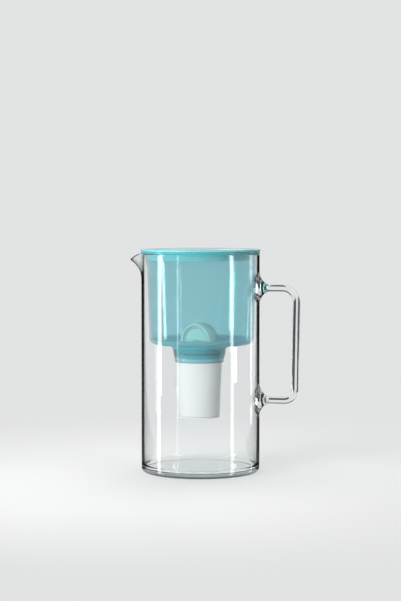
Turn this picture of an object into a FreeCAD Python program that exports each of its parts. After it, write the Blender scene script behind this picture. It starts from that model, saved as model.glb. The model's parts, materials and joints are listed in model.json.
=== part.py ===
import FreeCAD, Part
import math
import os
import re
import Sketcher

# Glass water filter pitcher: a glass jug with a welded handle, a tinted hopper that hangs in its mouth,
# a filter cartridge in the hopper's socket, and a flat lid with a refill flap and a change indicator.
# Frame: millimetres, +Z up, origin on the jug's axis at the table, spout towards -X, handle towards +X.

# Driving sizes, in millimetres unless the name ends in count, power or angle.
SIZES = (
    # glass jug
    ("jug_diameter", "130"),
    ("jug_height", "240.5"),
    ("glass_wall", "2.8"),
    ("base_thickness", "5"),
    ("foot_radius", "5"),
    ("hollow_radius", "7"),
    ("rim_round", "0.65"),
    # pulled spout
    ("spout_reach", "15"),
    ("spout_rise", "34"),
    ("spout_drop", "7.7"),
    ("spout_half_width", "27"),
    ("spout_run", "22"),
    ("spout_power", "2.2"),
    # welded handle
    ("rod_diameter", "8.4"),
    ("handle_reach", "42.3"),
    ("handle_drop", "37.5"),
    ("handle_height", "122.2"),
    ("handle_top_bend", "15"),
    ("handle_bottom_bend", "12"),
    ("handle_lean_angle", "1"),
    ("weld_diameter", "33"),
    ("weld_length", "12.5"),
    ("weld_rim", "0.3"),
    # hopper
    ("funnel_clearance", "2.2"),
    ("funnel_depth", "99.8"),
    ("funnel_taper", "2.95"),
    ("funnel_wall", "1.8"),
    ("funnel_floor", "2.5"),
    ("funnel_side_gap", "0.85"),
    ("funnel_mouth_gap", "0.7"),
    ("funnel_corner", "7"),
    ("flare_drop", "3"),
    ("flare_height", "16"),
    ("flange_thickness", "2.4"),
    ("flange_overhang", "0.2"),
    ("flange_round", "0.6"),
    # cartridge socket under the hopper's floor
    ("socket_offset", "1.2"),
    ("socket_top_radius", "29.8"),
    ("socket_step_radius", "27.8"),
    ("socket_wall", "1.3"),
    ("socket_cone_height", "10.4"),
    ("socket_ring_height", "9"),
    ("socket_ring_step", "0.5"),
    ("socket_ring_taper", "0.3"),
    ("socket_seat_rise", "1.2"),
    ("socket_bead", "0.6"),
    ("socket_bead_height", "4.6"),
    ("socket_ring_gap", "0.35"),
    ("socket_gap", "0.45"),
    # cartridge
    ("cup_top_radius", "25.2"),
    ("cup_bottom_radius", "22.1"),
    ("cup_height", "71"),
    ("cup_wall", "1.4"),
    ("cup_floor", "1.6"),
    ("cup_bead", "1.4"),
    ("cup_bead_depth", "0.35"),
    ("drain_slot_width", "1.4"),
    ("drain_slot_length", "7"),
    ("drain_slot_start", "8"),
    ("drain_slot_count", "14"),
    ("spigot_height", "4"),
    ("spigot_wall", "1.4"),
    ("spigot_gap", "0.2"),
    ("plug_height", "10"),
    ("seal_height", "3"),
    ("seal_rise", "5"),
    ("seal_depth", "1.7"),
    ("seal_proud", "0.1"),
    ("dome_radius", "22.4"),
    ("dome_base", "0.9"),
    ("dome_wall", "1.6"),
    ("grip_half", "7.2"),
    ("grip_angle", "152.6"),
    ("grip_rim", "2.9"),
    ("grip_step", "0.8"),
    ("grip_land", "2"),
    ("grip_sink", "0.6"),
    ("inlet_slot_width", "1.2"),
    ("inlet_slot_height", "4"),
    ("inlet_slot_count", "24"),
    ("screen_thickness", "0.6"),
    ("media_gap", "0.25"),
    # lid
    ("lid_overhang", "0.8"),
    ("lid_edge", "2"),
    ("lid_plate", "3"),
    ("lid_step_gap", "0.5"),
    ("lid_round", "0.8"),
    ("skirt_gap", "1.4"),
    ("skirt_depth", "8.4"),
    ("skirt_wall", "1.6"),
    ("skirt_lip", "3"),
    # refill flap
    ("hinge_case_gap", "7.5"),
    ("hinge_setback", "3.6"),
    ("hinge_gap", "0.9"),
    ("barrel_radius", "2"),
    ("barrel_length", "28"),
    ("barrel_gap", "0.4"),
    ("pin_radius", "0.9"),
    ("pin_running_gap", "0.05"),
    ("pin_grip", "2.8"),
    ("lug_width", "6"),
    ("lug_thickness", "4"),
    ("lug_depth", "2.2"),
    ("flap_front_gap", "12.1"),
    ("flap_width", "58"),
    ("flap_corner", "12"),
    ("flap_thickness", "1.6"),
    ("flap_gap", "0.4"),
    ("ledge_width", "2.4"),
    ("notch_radius", "9"),
    ("notch_depth", "2.2"),
    # change indicator
    ("indicator_rim_gap", "4.8"),
    ("case_radius", "13.9"),
    ("case_flange_lip", "1.6"),
    ("case_flange", "1.2"),
    ("case_depth", "11.6"),
    ("case_wall", "1.3"),
    ("case_top", "1.5"),
    ("case_gap", "0.2"),
    ("board_ledge", "1.4"),
    ("bottom_plate", "1.6"),
    ("bottom_spigot", "1.4"),
    ("gasket_width", "1.2"),
    ("cell_radius", "10"),
    ("cell_thickness", "3.2"),
    ("cell_step", "0.5"),
    ("contact_thickness", "0.5"),
    ("contact_width", "5"),
    ("contact_length", "17"),
    ("board_thickness", "1"),
    ("switch_side", "4"),
    ("switch_height", "0.8"),
    ("led_length", "1.6"),
    ("led_width", "0.9"),
    ("led_height", "0.6"),
    ("led_offset", "4.6"),
    ("button_radius", "5.9"),
    ("button_gap", "0.35"),
    ("button_flange", "1.2"),
    ("button_flange_height", "1"),
    ("button_flange_gap", "0.1"),
    ("button_sink", "0.2"),
    # length that every cut runs past the material
    ("overrun", "5"),
)

# Places worked out from the driving sizes, each from the names above it.
PLACES = (
    ("jug_radius", "jug_diameter / 2"),
    ("hollow_wall_radius", "jug_radius - glass_wall"),
    ("spout_start_z", "jug_height - spout_rise"),
    ("lip_start_x", "spout_run - jug_radius - spout_reach"),
    ("lip_end_x", "-jug_radius - spout_reach - overrun"),
    ("lip_tip_z", "jug_height - spout_drop"),
    ("lip_curve", "(spout_run ^ 2 + spout_drop ^ 2) / (2 * spout_drop)"),
    ("lip_end_z", "jug_height - lip_curve + sqrt(lip_curve ^ 2 - (spout_run + overrun) ^ 2)"),
    ("handle_top_z", "jug_height - handle_drop"),
    ("handle_bottom_z", "handle_top_z - handle_height"),
    ("bar_x", "jug_radius + handle_reach"),
    ("top_bend_x", "bar_x - handle_top_bend"),
    ("bar_top_x", "top_bend_x + handle_top_bend * cos(handle_lean_angle)"),
    ("bar_top_z", "handle_top_z - handle_top_bend * (1 + sin(handle_lean_angle))"),
    ("bar_low_z", "handle_bottom_z + handle_bottom_bend * (1 - sin(handle_lean_angle))"),
    ("bar_low_x", "bar_top_x - (bar_top_z - bar_low_z) * tan(handle_lean_angle)"),
    ("low_bend_x", "bar_low_x - handle_bottom_bend * cos(handle_lean_angle)"),
    ("weld_start_x", "jug_radius - weld_diameter / 4"),
    ("rod_radius", "rod_diameter / 2"),
    ("weld_radius", "weld_diameter / 2"),
    ("weld_rise", "weld_radius - rod_radius"),
    ("weld_run", "weld_length - weld_rim"),
    ("weld_curve", "(weld_run ^ 2 + weld_rise ^ 2) / (2 * weld_rise)"),
    ("floor_under_z", "jug_height - funnel_depth"),
    ("floor_top_z", "floor_under_z + funnel_floor"),
    ("funnel_radius", "hollow_wall_radius - funnel_clearance"),
    ("funnel_x", "hollow_wall_radius - funnel_side_gap - funnel_radius"),
    ("funnel_low_radius", "funnel_radius - funnel_taper"),
    ("funnel_hollow_corner", "funnel_corner - funnel_wall"),
    ("flare_top_z", "jug_height - flare_drop"),
    ("flare_low_z", "flare_top_z - flare_height"),
    ("mouth_radius", "hollow_wall_radius - funnel_mouth_gap"),
    ("mouth_bore", "mouth_radius - funnel_wall"),
    ("flange_radius", "jug_radius + flange_overhang"),
    ("flange_top_z", "jug_height + flange_thickness"),
    ("socket_step_z", "floor_under_z - socket_cone_height"),
    ("socket_end_z", "socket_step_z - socket_ring_height"),
    ("socket_ring_radius", "socket_step_radius - socket_ring_step"),
    ("socket_slope", "(socket_top_radius - socket_step_radius) / socket_cone_height"),
    ("socket_bead_z", "floor_under_z - socket_bead_height"),
    ("socket_bead_radius", "socket_top_radius - socket_bead_height * socket_slope"),
    ("seat_z", "socket_step_z + socket_seat_rise"),
    ("seat_radius", "socket_step_radius + socket_seat_rise * socket_slope - socket_wall"),
    ("socket_bore", "cup_top_radius + socket_ring_gap"),
    ("socket_mouth", "seat_radius + (floor_top_z - seat_z) * socket_slope"),
    ("cup_bottom_z", "seat_z - cup_height"),
    ("cup_slope", "(cup_top_radius - cup_bottom_radius) / cup_height"),
    ("cup_bore_low", "cup_bottom_radius + cup_floor * cup_slope - cup_wall"),
    ("cup_bore_high", "cup_top_radius - cup_wall"),
    ("cup_bead_radius", "cup_bottom_radius + cup_bead * cup_slope"),
    ("cup_bead_z", "cup_bottom_z + cup_bead"),
    ("plug_low_radius", "seat_radius - socket_gap"),
    ("plug_top_z", "seat_z + plug_height"),
    ("plug_top_radius", "plug_low_radius + plug_height * socket_slope"),
    ("seal_low_z", "seat_z + seal_rise"),
    ("seal_high_z", "seal_low_z + seal_height"),
    ("seal_low_radius", "plug_low_radius + seal_rise * socket_slope"),
    ("seal_high_radius", "seal_low_radius + seal_height * socket_slope"),
    ("seal_root", "seal_low_radius - seal_depth"),
    ("spigot_radius", "cup_bore_high - spigot_height * cup_slope - spigot_gap"),
    ("spigot_bore", "spigot_radius - spigot_wall"),
    ("spigot_end_z", "seat_z - spigot_height"),
    ("dome_centre_z", "plug_top_z + dome_base"),
    ("dome_top_z", "dome_centre_z + dome_radius"),
    ("panel_half", "grip_half - grip_step"),
    ("panel_radius", "sqrt(dome_radius ^ 2 - grip_half ^ 2) - grip_rim"),
    ("inset_half", "panel_half - grip_sink"),
    ("inset_radius", "panel_radius - grip_land"),
    ("core_half", "inset_half - dome_wall"),
    ("core_radius", "sqrt((dome_radius - dome_wall) ^ 2 - core_half ^ 2)"),
    ("outlet_screen_z", "cup_bottom_z + cup_floor"),
    ("media_low_z", "outlet_screen_z + screen_thickness"),
    ("media_top_z", "spigot_end_z - screen_thickness"),
    ("media_low_radius", "cup_bore_low + screen_thickness * cup_slope - media_gap"),
    ("media_top_radius", "cup_bore_high - (seat_z - media_top_z) * cup_slope - media_gap"),
    ("lid_radius", "jug_radius + lid_overhang"),
    ("lid_top_z", "flange_top_z + lid_edge"),
    ("lid_under_z", "lid_top_z - lid_plate"),
    ("lid_step_radius", "mouth_bore - lid_step_gap"),
    ("skirt_radius", "mouth_bore - skirt_gap"),
    ("skirt_end_z", "lid_under_z - skirt_depth"),
    ("skirt_bore", "skirt_radius - skirt_wall - skirt_lip"),
    ("indicator_x", "skirt_bore - indicator_rim_gap - case_radius"),
    ("case_flange_radius", "case_radius + case_flange_lip"),
    ("hinge_x", "indicator_x - case_flange_radius - hinge_case_gap"),
    ("hinge_z", "lid_top_z - barrel_radius"),
    ("flap_right_x", "hinge_x - hinge_setback"),
    ("flap_left_x", "flap_front_gap - skirt_bore"),
    ("flap_half", "flap_width / 2"),
    ("flap_under_z", "lid_top_z - flap_thickness"),
    ("barrel_half", "barrel_length / 2"),
    ("slot_half", "barrel_half + barrel_gap"),
    ("slot_right_x", "hinge_x + barrel_radius + barrel_gap"),
    ("pin_half", "slot_half + pin_grip"),
    ("case_bore", "case_radius - case_wall"),
    ("case_end_z", "lid_top_z - case_depth"),
    ("ledge_bore", "case_bore - board_ledge"),
    ("bottom_radius", "case_bore - case_gap"),
    ("bottom_top_z", "case_end_z + bottom_plate"),
    ("cell_low_z", "bottom_top_z + bottom_spigot"),
    ("cell_top_z", "cell_low_z + cell_thickness"),
    ("board_low_z", "cell_top_z + contact_thickness"),
    ("board_top_z", "board_low_z + board_thickness"),
    ("case_roof_z", "lid_top_z - case_top"),
    ("button_flange_radius", "button_radius + button_flange"),
    ("button_flange_top_z", "case_roof_z - button_flange_gap"),
    ("button_low_z", "button_flange_top_z - button_flange_height"),
    ("button_top_z", "lid_top_z - button_sink"),
)

# Heights of the spout's cross-sections, as shares of its rise.
SPOUT_LEVEL_SHARES = (0, 0.2, 0.4, 0.6, 0.8, 1)
# How far the wall's tangent runs on at each side of the spout, as a share of the spout's half-angle.
SPOUT_SHOULDER_SHARE = 0.45
# The hopper's flare: how far up its height each level stands, and how much of the widening it has there.
FLARE_SHARES = ((0, 0), (0.25, 0.13), (0.5, 0.5), (0.75, 0.87), (1, 1))

VECTOR = FreeCAD.Vector
WORD = re.compile(r"[a-z_]+")
FULL_TURN = 360

doc = FreeCAD.newDocument("filter_pitcher")
sheet = doc.addObject("Spreadsheet::Sheet", "sheet")
places = doc.addObject("App::VarSet", "places")
probe = doc.addObject("App::VarSet", "probe")
size_names = {name for name, value in SIZES}
place_names = {name for name, formula in PLACES}


# Formulas over the sheet's sizes and the places derived from them.
def bound(formula):
    """The formula with each name pointing at its cell or its place."""

    def point(match):
        word = match.group()
        if word in size_names:
            return "sheet." + word
        if word in place_names:
            return "places." + word
        return word

    return WORD.sub(point, formula)


def fill_sheet():
    for row, (alias, value) in enumerate(SIZES, start=1):
        sheet.set(f"A{row}", alias)
        sheet.set(f"B{row}", value)
        sheet.setAlias(f"B{row}", alias)
    doc.recompute()
    for name, formula in PLACES:
        places.addProperty("App::PropertyFloat", name)
        places.setExpression(name, bound(formula))
    probe.addProperty("App::PropertyFloat", "answer")
    doc.recompute()


def size(formula):
    """The number that a formula of sizes and places gives."""
    probe.setExpression("answer", bound(formula))
    probe.recompute()
    return probe.answer


# Sketches.
def new_body(label):
    body = doc.addObject("PartDesign::Body", label)
    body.Label = label
    return body


def new_sketch(body, role, shift=("0", "0", "0"), turn=None):
    """A sketch on one of the body's own planes, shifted along it and off it, and turned about its own Y."""
    sketch = body.newObject("Sketcher::SketchObject", body.Name + "_sketch")
    plane = next(feature for feature in body.Origin.OriginFeatures if feature.Role == role)
    sketch.AttachmentSupport = (plane, [""])
    sketch.MapMode = "FlatFace"
    if turn:
        rotation = FreeCAD.Rotation(VECTOR(0, 1, 0), size(turn))
        sketch.AttachmentOffset = FreeCAD.Placement(VECTOR(), rotation)
        sketch.setExpression("AttachmentOffset.Rotation.Angle", bound(turn))
    for axis, formula in zip("xyz", shift):
        if formula != "0":
            sketch.setExpression(f"AttachmentOffset.Base.{axis}", bound(formula))
    return sketch


def hold(sketch, kind, geometry, point, formula):
    """Holds one coordinate of a sketch point to a formula."""
    if formula == "0":
        axis = -2 if kind == "DistanceX" else -1
        sketch.addConstraint(Sketcher.Constraint("PointOnObject", geometry, point, axis))
        return
    index = sketch.addConstraint(Sketcher.Constraint(kind, -1, 1, geometry, point, size(formula)))
    sketch.setExpression(f"Constraints[{index}]", bound(formula))


def hold_point(sketch, geometry, point, place):
    hold(sketch, "DistanceX", geometry, point, place[0])
    hold(sketch, "DistanceY", geometry, point, place[1])


def hold_radius(sketch, geometry, formula):
    index = sketch.addConstraint(Sketcher.Constraint("Radius", geometry, size(formula)))
    sketch.setExpression(f"Constraints[{index}]", bound(formula))


def arc_between(start, end, radius, turn):
    """The shorter arc from start to end; turn is 1 for anticlockwise and -1 for clockwise."""
    chord = end - start
    reach = math.sqrt(radius**2 - (chord.Length / 2) ** 2)
    side = VECTOR(-chord.y, chord.x, 0).normalize()
    centre = start + chord / 2 + side * reach * turn
    first, last = (start, end) if turn > 0 else (end, start)
    angles = [math.atan2(spot.y - centre.y, spot.x - centre.x) for spot in (first, last)]
    return Part.ArcOfCircle(Part.Circle(centre, VECTOR(0, 0, 1), radius), *angles)


def outline(corners, closed=True):
    """A drawing through corners of (x, y) or, where an arc follows the corner, (x, y, radius, turn)."""
    count = len(corners) if closed else len(corners) - 1

    def draw(sketch):
        spots = [VECTOR(size(corner[0]), size(corner[1]), 0) for corner in corners]
        ends = []
        for number in range(count):
            start = spots[number]
            end = spots[(number + 1) % len(spots)]
            if len(corners[number]) == 2:
                sketch.addGeometry(Part.LineSegment(start, end), False)
                ends.append((1, 2))
                continue
            formula, turn = corners[number][2:]
            sketch.addGeometry(arc_between(start, end, size(formula), turn), False)
            ends.append((1, 2) if turn > 0 else (2, 1))
        for number in range(count if closed else count - 1):
            after = (number + 1) % count
            meet = Sketcher.Constraint("Coincident", number, ends[number][1], after, ends[after][0])
            sketch.addConstraint(meet)
        for number in range(count):
            hold_point(sketch, number, ends[number][0], corners[number][:2])
            if len(corners[number]) > 2:
                hold_radius(sketch, number, corners[number][2])
        if not closed:
            hold_point(sketch, count - 1, ends[-1][1], corners[-1][:2])

    return draw


def circle(radius, x="0", y="0"):
    """A drawing of one circle."""

    def draw(sketch):
        spot = VECTOR(size(x), size(y), 0)
        number = sketch.addGeometry(Part.Circle(spot, VECTOR(0, 0, 1), size(radius)), False)
        hold_point(sketch, number, 3, (x, y))
        hold_radius(sketch, number, radius)

    return draw


def box(left, right, low, high):
    return outline([(left, low), (right, low), (right, high), (left, high)])


def rounded_box(left, right, half, radius):
    """A rectangle with round corners, even about the sketch's X axis."""
    straight = f"({half}) - ({radius})"
    inner_left = f"({left}) + ({radius})"
    inner_right = f"({right}) - ({radius})"
    return outline(
        [
            (inner_left, f"-({half})"),
            (inner_right, f"-({half})", radius, 1),
            (right, f"-({straight})"),
            (right, straight, radius, 1),
            (inner_right, half),
            (inner_left, half, radius, 1),
            (left, straight),
            (left, f"-({straight})", radius, 1),
        ]
    )


def arch(radius, low, centre):
    """An upright panel with a half-round top."""
    return outline(
        [
            (f"-({radius})", low),
            (radius, low),
            (radius, centre, radius, 1),
            ("0", f"{centre} + {radius}", radius, 1),
            (f"-({radius})", centre),
        ]
    )


# Features.
def settle(body, feature, volume_before=None):
    """Recomputes, and stops if the feature failed or a cut took nothing away."""
    doc.recompute()
    if "Invalid" in feature.State or "Error" in feature.State:
        raise RuntimeError(f"{body.Label}: {feature.Name} failed")
    if volume_before is not None and not feature.Shape.Volume < volume_before:
        raise RuntimeError(f"{body.Label}: {feature.Name} cut nothing")
    return feature


def volume_to_cut(body, cut):
    return body.Shape.Volume if cut else None


def revolve(body, corners, x="0", z="0", about="V_Axis", cut=False):
    """Turns an outline in the XZ plane about the upright or level axis through (x, z)."""
    before = volume_to_cut(body, cut)
    sketch = new_sketch(body, "XZ_Plane", (x, z, "0"))
    outline(corners)(sketch)
    kind = "PartDesign::Groove" if cut else "PartDesign::Revolution"
    feature = body.newObject(kind, body.Name + "_turned")
    feature.Profile = sketch
    feature.ReferenceAxis = (sketch, [about])
    feature.Angle = FULL_TURN
    return settle(body, feature, before)


def extrude(body, draw, low, length, role="XY_Plane", shift=("0", "0"), turn=None, cut=False, way=1):
    """Raises a drawing from its plane at low; way is 1 along the plane's normal, -1 against it, 0 both."""
    before = volume_to_cut(body, cut)
    sketch = new_sketch(body, role, (*shift, low), turn)
    draw(sketch)
    kind = "PartDesign::Pocket" if cut else "PartDesign::Pad"
    feature = body.newObject(kind, body.Name + "_raised")
    feature.Profile = sketch
    feature.setExpression("Length", bound(length))
    feature.Midplane = way == 0
    feature.Reversed = way == (1 if cut else -1)
    return settle(body, feature, before)


def loft(body, rings, cut=False):
    """A smooth skin through level circles given as (x, z, radius)."""
    before = volume_to_cut(body, cut)
    sketches = []
    for x, z, radius in rings:
        sketch = new_sketch(body, "XY_Plane", ("0", "0", z))
        circle(radius, x)(sketch)
        sketches.append(sketch)
    kind = "PartDesign::SubtractiveLoft" if cut else "PartDesign::AdditiveLoft"
    feature = body.newObject(kind, body.Name + "_loft")
    feature.Profile = sketches[0]
    feature.Sections = sketches[1:]
    return settle(body, feature, before)


def repeat(body, feature, count):
    """Repeats a cut evenly about the normal through its sketch's origin."""
    before = body.Shape.Volume
    pattern = body.newObject("PartDesign::PolarPattern", body.Name + "_pattern")
    pattern.Originals = [feature]
    pattern.Axis = (feature.Profile[0], ["N_Axis"])
    pattern.Angle = FULL_TURN
    pattern.setExpression("Occurrences", bound(count))
    body.Tip = pattern
    return settle(body, pattern, before)


def same(value, formula):
    return math.isclose(value, size(formula), rel_tol=0.0001)


def round_rings(body, rings, radius):
    """Fillets the level round edges given as (z, radius)."""
    base = body.Tip
    names = []
    for number, edge in enumerate(base.Shape.Edges, start=1):
        if not isinstance(edge.Curve, Part.Circle):
            continue
        for ring_z, ring_radius in rings:
            if same(edge.Curve.Center.z, ring_z) and same(edge.Curve.Radius, ring_radius):
                names.append(f"Edge{number}")
    feature = body.newObject("PartDesign::Fillet", body.Name + "_round")
    feature.Base = (base, names)
    feature.setExpression("Radius", bound(radius))
    return settle(body, feature)


def plain_disc(label, radius, low, height, x):
    body = new_body(label)
    extrude(body, circle(radius), low, height, shift=(x, "0"))
    return body


# Glass jug: a turned vessel whose upper band swells into a pulled spout.
def vessel(name, radius, corner, floor):
    body = new_body(name)
    corners = [
        ("0", floor),
        (f"{radius} - {corner}", floor, corner, 1),
        (radius, f"{floor} + {corner}"),
        (radius, "spout_start_z"),
        ("0", "spout_start_z"),
    ]
    revolve(body, corners)
    return body


def spout_section(radius, bulge, z):
    """A level ring that is round behind and swells towards -X, reaching the bulge past the radius there."""
    half_angle = math.asin(size("spout_half_width / jug_radius"))
    side = VECTOR(-radius * math.cos(half_angle), radius * math.sin(half_angle), z)
    other_side = VECTOR(side.x, -side.y, z)
    if bulge == 0:
        front = Part.Arc(side, VECTOR(-radius, 0, z), other_side)
    else:
        run_on = half_angle * SPOUT_SHOULDER_SHARE
        shoulder = VECTOR(side.x - side.y * run_on, side.y + side.x * run_on, z)
        # the middle of a curve of five poles is an eighth side, a half shoulder and three eighths nose
        nose = VECTOR((-8 * (radius + bulge) - side.x - 4 * shoulder.x) / 3, 0, z)
        front = Part.BezierCurve()
        front.setPoles([side, shoulder, nose, VECTOR(shoulder.x, -shoulder.y, z), other_side])
    back = Part.Arc(other_side, VECTOR(radius, 0, z), side)
    return Part.Wire([front.toShape(), back.toShape()])


def spout_band(name, radius, past_rim):
    """The band from the foot of the spout up to the rim, and on past it where it is to be cut away."""
    tip_share = 1 - size("spout_drop / spout_rise")
    power = size("spout_power")
    widest = size("spout_reach") / tip_share**power
    sections = []
    for share in SPOUT_LEVEL_SHARES:
        z = size("spout_start_z") + share * size("spout_rise")
        sections.append(spout_section(radius, widest * share**power, z))
    band = Part.makeLoft(sections, True)
    if past_rim:
        band = band.fuse(Part.Face(sections[-1]).extrude(VECTOR(0, 0, past_rim)))
    made = doc.addObject("Part::Feature", name)
    made.Shape = band
    return made


def lip_trim():
    """What is cut away above the spout's lip, which falls from the rim to the tip in an arc."""
    body = new_body("lip_trim")
    corners = [
        ("lip_start_x", "jug_height"),
        ("lip_start_x", "jug_height + overrun"),
        ("lip_end_x - spout_reach", "jug_height + overrun"),
        ("lip_end_x - spout_reach", "lip_end_z"),
        ("lip_end_x", "lip_end_z", "lip_curve", -1),
    ]
    extrude(body, outline(corners), "0", "jug_diameter", "XZ_Plane", way=0)
    return body


def joined(kind, name, base, tool):
    made = doc.addObject("Part::" + kind, name)
    made.Base = base
    made.Tool = tool
    made.Refine = False
    return settle(made, made)


def build_glass_jug():
    outer_vessel = vessel("vessel_outside", "jug_radius", "foot_radius", "0")
    inner_vessel = vessel("vessel_inside", "hollow_wall_radius", "hollow_radius", "base_thickness")
    outer_band = spout_band("spout_outside", size("jug_radius"), 0)
    inner_band = spout_band("spout_inside", size("hollow_wall_radius"), size("overrun"))
    outside = joined("Fuse", "jug_outside", outer_vessel, outer_band)
    inside = joined("Fuse", "jug_inside", inner_vessel, inner_band)
    open_jug = joined("Cut", "open_jug", outside, inside)
    trimmed = joined("Cut", "trimmed_jug", open_jug, lip_trim())
    jug = doc.addObject("Part::Fillet", "glass_jug")
    jug.Base = trimmed
    rim_round = size("rim_round")
    lip_low = size("lip_tip_z - glass_wall")
    edges = []
    for number, edge in enumerate(trimmed.Shape.Edges, start=1):
        if edge.BoundBox.ZMin > lip_low and not isinstance(edge.Curve, Part.Line):
            edges.append((number, rim_round, rim_round))
    jug.Edges = edges
    return settle(jug, jug)


# Welded handle: a bent rod with a trumpet-shaped weld at each end, hollowed to the jug's wall.
def build_glass_handle():
    body = new_body("glass_handle")
    route = new_sketch(body, "XZ_Plane")
    stretches = [
        ("weld_start_x", "handle_top_z"),
        ("top_bend_x", "handle_top_z", "handle_top_bend", -1),
        ("bar_top_x", "bar_top_z"),
        ("bar_low_x", "bar_low_z", "handle_bottom_bend", -1),
        ("low_bend_x", "handle_bottom_z"),
        ("weld_start_x", "handle_bottom_z"),
    ]
    outline(stretches, closed=False)(route)
    section = new_sketch(body, "YZ_Plane", ("0", "0", "weld_start_x"))
    circle("rod_radius", y="handle_top_z")(section)
    rod = body.newObject("PartDesign::AdditivePipe", "handle_rod")
    rod.Profile = section
    rod.Spine = (route, [f"Edge{number}" for number in range(1, len(stretches))])
    settle(body, rod)
    weld = [
        ("weld_start_x", "0"),
        ("jug_radius + weld_length", "0"),
        ("jug_radius + weld_length", "rod_radius", "weld_curve", -1),
        ("jug_radius + weld_rim", "weld_radius"),
        ("weld_start_x", "weld_radius"),
    ]
    for z in ("handle_top_z", "handle_bottom_z"):
        revolve(body, weld, z=z, about="H_Axis")
    low = "handle_bottom_z - weld_diameter"
    extrude(body, circle("jug_radius"), low, "handle_height + 2 * weld_diameter", cut=True)
    return body


# Hopper: a tapered cup set off towards the handle, flared to the jug's mouth, with the cartridge's socket.
def flare(wall):
    """Circles from the cup's shoulder up to the mouth, less the wall."""
    rings = []
    for rise_share, wide_share in FLARE_SHARES:
        x = f"funnel_x * {1 - wide_share}"
        z = f"flare_low_z + flare_height * {rise_share}"
        rings.append((x, z, f"funnel_radius + (mouth_radius - funnel_radius) * {wide_share} - {wall}"))
    return rings


def funnel_cup(corner, floor, wall):
    """Half of the tapered cup's outline, less the wall."""
    return [
        ("0", floor),
        (f"funnel_low_radius - {wall} - {corner}", floor, corner, 1),
        (f"funnel_low_radius - {wall}", f"{floor} + {corner}"),
        (f"funnel_radius - {wall}", "flare_low_z"),
        ("0", "flare_low_z"),
    ]


def build_funnel():
    body = new_body("funnel")
    revolve(body, funnel_cup("funnel_corner", "floor_under_z", "0"), "funnel_x")
    loft(body, flare("0"))
    extrude(body, circle("mouth_radius"), "flare_top_z", "flare_drop")
    extrude(body, circle("flange_radius"), "jug_height", "flange_thickness")
    collar = [
        ("0", "floor_top_z"),
        ("0", "socket_end_z"),
        ("socket_ring_radius - socket_ring_taper", "socket_end_z"),
        ("socket_ring_radius", "socket_step_z"),
        ("socket_step_radius", "socket_step_z"),
        ("socket_bead_radius", "socket_bead_z"),
        ("socket_bead_radius + socket_bead", "socket_bead_z"),
        ("socket_top_radius + socket_bead", "floor_under_z"),
        ("socket_top_radius + socket_bead", "floor_top_z"),
    ]
    revolve(body, collar, "-socket_offset")
    revolve(body, funnel_cup("funnel_hollow_corner", "floor_top_z", "funnel_wall"), "funnel_x", cut=True)
    loft(body, flare("funnel_wall"), cut=True)
    extrude(body, circle("mouth_bore"), "flare_top_z", "flare_drop + flange_thickness + overrun", cut=True)
    socket = [
        ("0", "socket_end_z - overrun"),
        ("socket_bore", "socket_end_z - overrun"),
        ("socket_bore", "seat_z"),
        ("seat_radius", "seat_z"),
        ("socket_mouth", "floor_top_z"),
        ("0", "floor_top_z"),
    ]
    revolve(body, socket, "-socket_offset", cut=True)
    rings = [("flange_top_z", "flange_radius"), ("jug_height", "flange_radius")]
    round_rings(body, rings, "flange_round")
    return body


# Cartridge: a tapered cup of filter granules under a domed cap with a grip.
def build_cartridge_cup():
    body = new_body("cartridge_cup")
    wall = [
        ("0", "cup_bottom_z"),
        ("cup_bottom_radius", "cup_bottom_z"),
        ("cup_bead_radius", "cup_bead_z"),
        ("cup_bead_radius - cup_bead_depth", "cup_bead_z"),
        ("cup_bead_radius - cup_bead_depth", "cup_bead_z + cup_bead_depth"),
        ("cup_bead_radius + cup_bead_depth * cup_slope", "cup_bead_z + cup_bead_depth"),
        ("cup_top_radius", "seat_z"),
        ("cup_bore_high", "seat_z"),
        ("cup_bore_low", "cup_bottom_z + cup_floor"),
        ("0", "cup_bottom_z + cup_floor"),
    ]
    revolve(body, wall, "-socket_offset")
    half = "drain_slot_width / 2"
    slot = box("drain_slot_start", "drain_slot_start + drain_slot_length", f"-{half}", half)
    through = "cup_floor + 2 * overrun"
    drain = extrude(body, slot, "cup_bottom_z - overrun", through, shift=("-socket_offset", "0"), cut=True)
    repeat(body, drain, "drain_slot_count")
    return body


def cut_faces(body, draw, distance):
    """Cuts the dome back to an upright face on each side of its axis, leaving the grip between."""
    for side in (1, -1):
        across = (f"{side} * {distance} * sin(grip_angle) - socket_offset", "0")
        off = f"{side} * {distance} * cos(grip_angle)"
        extrude(body, draw, off, "dome_radius", "XZ_Plane", across, "grip_angle", cut=True, way=side)


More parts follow.
